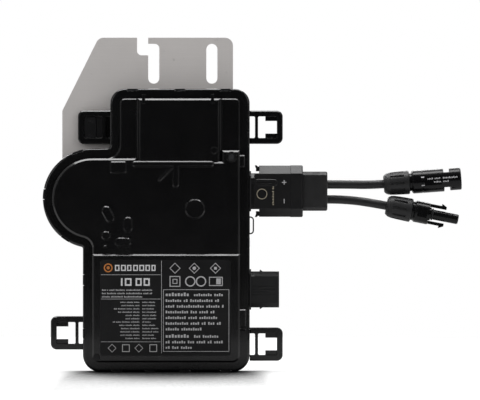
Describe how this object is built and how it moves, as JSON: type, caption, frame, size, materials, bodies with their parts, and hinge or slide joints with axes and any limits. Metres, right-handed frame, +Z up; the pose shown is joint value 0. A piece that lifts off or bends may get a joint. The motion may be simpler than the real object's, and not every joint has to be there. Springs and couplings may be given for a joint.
{
  "type": "micro inverter",
  "caption": "Potted micro inverter for one solar panel, on a slotted steel rail bracket, with a plug-in DC adapter whose short leads end in panel connectors.",
  "frame": {"origin": "middle of the case's lower edge, on which it stands", "axes": "+X towards the connector side, +Y towards the bracket at the back, +Z up"},
  "size_m": [0.3142, 0.035, 0.2513],
  "materials": {
    "case_plastic": "moulded, glossy black",
    "cover_plastic": "moulded, satin black",
    "seal_rubber": "matt",
    "resin": "cast potting resin",
    "bracket_steel": "brushed stainless steel",
    "screw_steel": "plain stainless steel",
    "clip_plastic": "moulded, satin black",
    "front_label": "printed dark film",
    "back_label": "printed silver film",
    "light_pipe": "smoked clear plastic",
    "port_plastic": "moulded, satin black",
    "pin_metal": "tin-plated",
    "board_laminate": "solder-masked laminate",
    "ferrite": "sintered, grey-black",
    "copper_wire": "enamelled copper",
    "capacitor_can": "sleeved",
    "film_capacitor_case": "cast box",
    "chip_plastic": "moulded epoxy",
    "spreader_metal": "milled",
    "varistor_coat": "dipped epoxy",
    "adapter_plastic": "moulded, satin black",
    "overmold_rubber": "soft moulded",
    "cable_jacket": "extruded jacket",
    "connector_plastic": "moulded, fine-grained black"
  },
  "bodies": {
    "housing": {"front_shell": "case_plastic", "rear_cover": "cover_plastic", "perimeter_gasket": "seal_rubber", "potting_compound": "resin", "mounting_bracket": "bracket_steel", "bracket_screws": "screw_steel", "bracket_washers": "screw_steel", "bracket_clip": "clip_plastic", "ear_upper_left": "case_plastic", "ear_upper_right": "case_plastic", "ear_lower_left": "case_plastic", "ear_lower_right": "case_plastic", "rating_label": "front_label", "serial_label": "back_label", "status_light_pipe": "light_pipe", "status_led": "light_pipe", "fill_plug": "seal_rubber", "dc_port": "port_plastic", "dc_port_gasket": "seal_rubber", "dc_pins": "pin_metal", "ac_port": "port_plastic", "ac_port_gasket": "seal_rubber", "ac_pins": "pin_metal", "circuit_board": "board_laminate", "transformer_core": "ferrite", "transformer_winding": "copper_wire", "input_capacitors": "capacitor_can", "film_capacitor": "film_capacitor_case", "filter_choke_core": "ferrite", "filter_choke_winding": "copper_wire", "power_transistors": "chip_plastic", "heat_spreader": "spreader_metal", "control_chips": "chip_plastic", "surge_varistors": "varistor_coat"},
    "dc_adapter": {"adapter_housing": "adapter_plastic", "adapter_insert": "adapter_plastic", "adapter_collar": "adapter_plastic", "adapter_overmold": "overmold_rubber", "adapter_seal": "seal_rubber", "adapter_contacts": "pin_metal", "positive_cable": "cable_jacket", "negative_cable": "cable_jacket", "socket_body": "connector_plastic", "socket_contact": "pin_metal", "socket_cable_seal": "seal_rubber", "plug_body": "connector_plastic", "plug_contact": "pin_metal", "plug_cable_seal": "seal_rubber", "plug_o_ring": "seal_rubber"},
    "adapter_latch_upper": {"latch_upper": "adapter_plastic"},
    "adapter_latch_lower": {"latch_lower": "adapter_plastic"},
    "socket_ring": {"socket_clamp_ring": "connector_plastic"},
    "socket_gland_nut": {"socket_nut": "connector_plastic"},
    "plug_ring": {"plug_clamp_ring": "connector_plastic"},
    "plug_gland_nut": {"plug_nut": "connector_plastic"},
    "plug_upper_arm": {"plug_arm_upper": "connector_plastic"},
    "plug_lower_arm": {"plug_arm_lower": "connector_plastic"}
  },
  "joints": [
    {"name": "adapter_slide", "type": "slide", "parent": "housing", "child": "dc_adapter", "axis": [1, 0, 0], "range_m": [0, 0.025]},
    {"name": "latch_upper_flex", "type": "hinge", "parent": "dc_adapter", "child": "adapter_latch_upper", "pos_m": [0.0898, 0.00255, 0.1525], "axis": [0, 1, 0], "range_deg": [0, 6], "stiffness_Nm_per_rad": 0.5},
    {"name": "latch_lower_flex", "type": "hinge", "parent": "dc_adapter", "child": "adapter_latch_lower", "pos_m": [0.0898, 0.00255, 0.1181], "axis": [0, -1, 0], "range_deg": [0, 6], "stiffness_Nm_per_rad": 0.5},
    {"name": "socket_nut_travel", "type": "slide", "parent": "dc_adapter", "child": "socket_ring", "axis": [-0.9974, 0, -0.0715], "range_m": [0, 0.00375]},
    {"name": "socket_nut_turn", "type": "hinge", "parent": "socket_ring", "child": "socket_gland_nut", "pos_m": [0.1633, 0.00455, 0.1406], "axis": [-0.9974, 0, -0.0715], "range_deg": [0, 900]},
    {"name": "plug_nut_travel", "type": "slide", "parent": "dc_adapter", "child": "plug_ring", "axis": [-0.982, 0, 0.1891], "range_m": [0, 0.00375]},
    {"name": "plug_nut_turn", "type": "hinge", "parent": "plug_ring", "child": "plug_gland_nut", "pos_m": [0.1651, 0.00055, 0.1245], "axis": [-0.982, 0, 0.1891], "range_deg": [0, 900]},
    {"name": "plug_arm_upper_flex", "type": "hinge", "parent": "dc_adapter", "child": "plug_upper_arm", "pos_m": [0.19828, 0.00055, 0.12493], "axis": [0, 1, 0], "range_deg": [0, 5], "stiffness_Nm_per_rad": 0.5},
    {"name": "plug_arm_lower_flex", "type": "hinge", "parent": "dc_adapter", "child": "plug_lower_arm", "pos_m": [0.19575, 0.00055, 0.11177], "axis": [0, -1, 0], "range_deg": [0, 5], "stiffness_Nm_per_rad": 0.5}
  ],
  "couplings": [
    {"joint": "latch_lower_flex", "follows": "latch_upper_flex", "ratio": 1},
    {"joint": "socket_nut_turn", "follows": "socket_nut_travel", "rad_per_m": 4188.8},
    {"joint": "plug_nut_turn", "follows": "plug_nut_travel", "rad_per_m": 4188.8}
  ]
}
